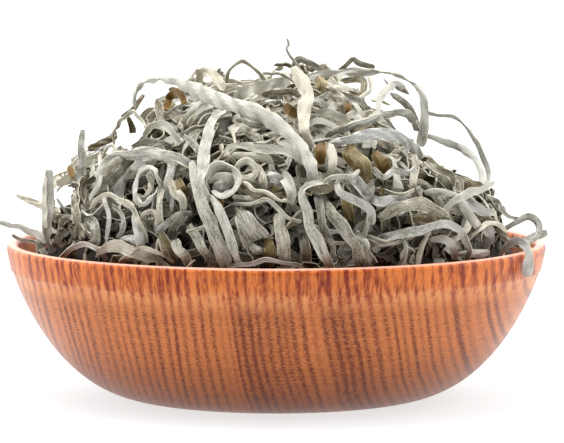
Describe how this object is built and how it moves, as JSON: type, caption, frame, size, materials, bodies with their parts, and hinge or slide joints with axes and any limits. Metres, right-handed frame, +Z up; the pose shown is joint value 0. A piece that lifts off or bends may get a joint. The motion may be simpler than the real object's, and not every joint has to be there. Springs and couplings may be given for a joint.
{
  "type": "dried kelp strips in a wooden bowl",
  "caption": "Tangled heap of narrow dried kelp strips piled above the rim of a round turned wooden bowl with a plain lip and a flat foot.",
  "frame": {"origin": "centre of the bowl's flat foot, on the surface it stands on", "axes": "+Z up through the heap, +X to the right, -Y to the front"},
  "size_m": [0.2408, 0.2408, 0.1611],
  "materials": {
    "varnished_wood": "glossy varnish over striped, fine-pored wood",
    "dried_kelp": "dry, matt, grey-green with a pale salt bloom"
  },
  "bodies": {
    "root": {"bowl": "varnished_wood", "kelp_heap": "dried_kelp"}
  },
  "joints": []
}
